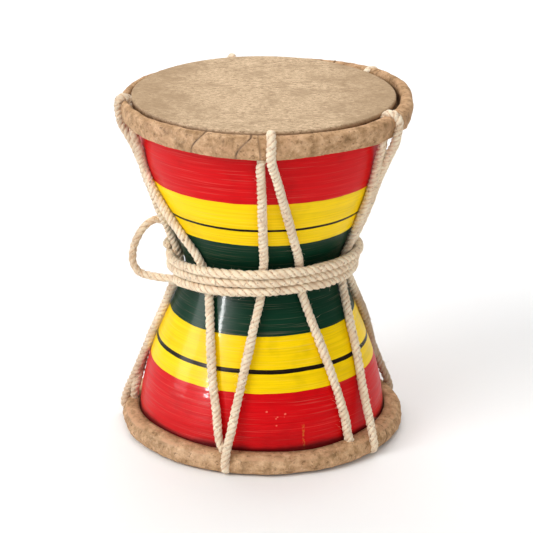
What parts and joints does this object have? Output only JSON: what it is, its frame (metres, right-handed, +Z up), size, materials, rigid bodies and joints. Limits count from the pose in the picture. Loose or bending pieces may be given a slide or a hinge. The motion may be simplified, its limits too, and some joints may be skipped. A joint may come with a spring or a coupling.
{
  "type": "rope-laced hourglass drum",
  "caption": "Hand drum with a hollow turned hourglass shell in painted bands, hide heads rolled at the rim, rope lacing between the heads and a rope girdle round the waist.",
  "frame": {"origin": "middle of the lower hide's outer face, which the drum stands on", "axes": "+Z up along the drum's axis, towards the upper head; the side shown in the picture faces -Y, with the rope loop at -X"},
  "size_m": [0.1497, 0.1524, 0.1799],
  "materials": {
    "lacquered_wood": "turned wood under gloss lacquer in red, yellow and dark green bands with thin dark lines",
    "hide": "rough mottled rawhide, matt",
    "cotton_rope": "twisted undyed cotton cord, matt and a little fuzzy"
  },
  "bodies": {
    "root": {"shell": "lacquered_wood", "head_top": "hide", "head_bottom": "hide", "lacing_rope": "cotton_rope", "waist_rope": "cotton_rope"}
  },
  "joints": []
}
